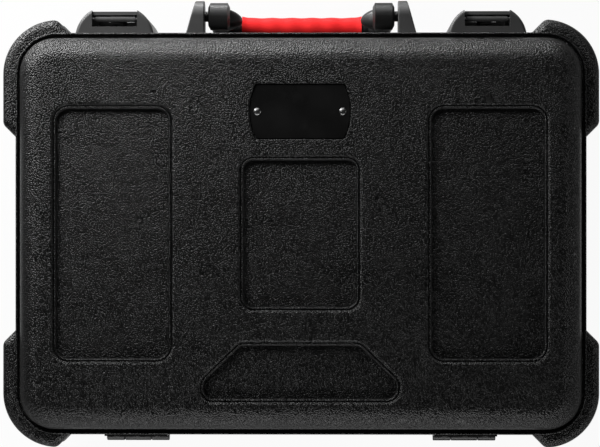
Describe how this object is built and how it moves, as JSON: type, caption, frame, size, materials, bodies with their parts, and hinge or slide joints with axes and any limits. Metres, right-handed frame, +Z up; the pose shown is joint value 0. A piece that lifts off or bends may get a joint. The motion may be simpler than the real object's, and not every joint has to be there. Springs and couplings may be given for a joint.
{
  "type": "hard case",
  "caption": "Moulded black hard case with a hinged lid, metal tongue-and-groove rim, foam lining, corner bumpers, two locking hasp latches and a folding red-gripped handle.",
  "frame": {"origin": "centre of the flat underside of the base, where the closed case rests lying down", "axes": "+Z up through the lid, -Y towards the front with the handle and latches, X along the long side"},
  "size_m": [0.524, 0.3965, 0.192],
  "materials": {
    "shell_plastic": "satin",
    "bumper_plastic": "satin",
    "hardware_plastic": "satin",
    "lever_plastic": "satin",
    "badge_plastic": "satin",
    "rim_metal": "satin",
    "hinge_metal": "satin",
    "steel": "satin",
    "grip_rubber": "satin",
    "foam": "matte"
  },
  "bodies": {
    "base": {"base_shell": "shell_plastic", "base_rim": "rim_metal", "base_floor_pad": "foam", "base_foam_walls": "foam", "base_bumper_rear_right": "bumper_plastic", "base_bumper_rear_left": "bumper_plastic", "base_bumper_front_right": "bumper_plastic", "base_bumper_front_left": "bumper_plastic", "hinge_base_leaf_left": "hinge_metal", "hinge_base_leaf_right": "hinge_metal", "hinge_pin_left": "hinge_metal", "hinge_pin_right": "hinge_metal", "base_hinge_rivets": "hinge_metal", "latch_housing_left": "hardware_plastic", "latch_housing_right": "hardware_plastic", "base_latch_screws": "steel", "handle_bracket_left": "hardware_plastic", "handle_bracket_right": "hardware_plastic", "handle_pin_left": "hinge_metal", "handle_pin_right": "hinge_metal", "handle_rivets": "hinge_metal"},
    "lid": {"lid_shell": "shell_plastic", "lid_rim": "rim_metal", "lid_foam": "foam", "lid_bumper_rear_right": "bumper_plastic", "lid_bumper_rear_left": "bumper_plastic", "lid_bumper_front_right": "bumper_plastic", "lid_bumper_front_left": "bumper_plastic", "hinge_lid_leaf_left": "hinge_metal", "hinge_lid_leaf_right": "hinge_metal", "lid_hinge_rivets": "hinge_metal", "badge_plate": "badge_plastic", "badge_rivets": "steel", "latch_keeper_left": "hardware_plastic", "latch_keeper_right": "hardware_plastic", "latch_pin_left": "steel", "latch_pin_right": "steel", "lid_latch_screws": "steel"},
    "latch_lever_left": {"latch_lever_left": "lever_plastic"},
    "latch_lever_right": {"latch_lever_right": "lever_plastic"},
    "lock_cylinder_left": {"lock_cylinder_left": "steel"},
    "lock_cylinder_right": {"lock_cylinder_right": "steel"},
    "lock_bolt_left": {"lock_bolt_left": "steel"},
    "lock_bolt_right": {"lock_bolt_right": "steel"},
    "handle": {"handle_frame": "hardware_plastic", "handle_grip": "grip_rubber"}
  },
  "joints": [
    {"name": "lid_hinge", "type": "hinge", "parent": "base", "child": "lid", "pos_m": [0, 0.179, 0.13], "axis": [-1, 0, 0], "range_deg": [0, 105]},
    {"name": "handle_fold", "type": "hinge", "parent": "base", "child": "handle", "pos_m": [0, -0.1947, 0.112], "axis": [-1, 0, 0], "range_deg": [0, 95]},
    {"name": "latch_lever_left_swing", "type": "hinge", "parent": "lid", "child": "latch_lever_left", "pos_m": [-0.1642, -0.1896, 0.1455], "axis": [-1, 0, 0], "range_deg": [0, 105]},
    {"name": "bolt_left_slide", "type": "slide", "parent": "base", "child": "lock_bolt_left", "axis": [0, 0, 1], "range_m": [0, 0.008]},
    {"name": "lock_left_turn", "type": "hinge", "parent": "base", "child": "lock_cylinder_left", "pos_m": [-0.1642, -0.19, 0.073], "axis": [0, -1, 0], "range_deg": [0, 90]},
    {"name": "latch_lever_right_swing", "type": "hinge", "parent": "lid", "child": "latch_lever_right", "pos_m": [0.1642, -0.1896, 0.1455], "axis": [-1, 0, 0], "range_deg": [0, 105]},
    {"name": "bolt_right_slide", "type": "slide", "parent": "base", "child": "lock_bolt_right", "axis": [0, 0, 1], "range_m": [0, 0.008]},
    {"name": "lock_right_turn", "type": "hinge", "parent": "base", "child": "lock_cylinder_right", "pos_m": [0.1642, -0.19, 0.073], "axis": [0, -1, 0], "range_deg": [0, 90]}
  ],
  "couplings": [
    {"joint": "lock_left_turn", "follows": "bolt_left_slide", "rad_per_m": 196.34},
    {"joint": "lock_right_turn", "follows": "bolt_right_slide", "rad_per_m": 196.34}
  ]
}
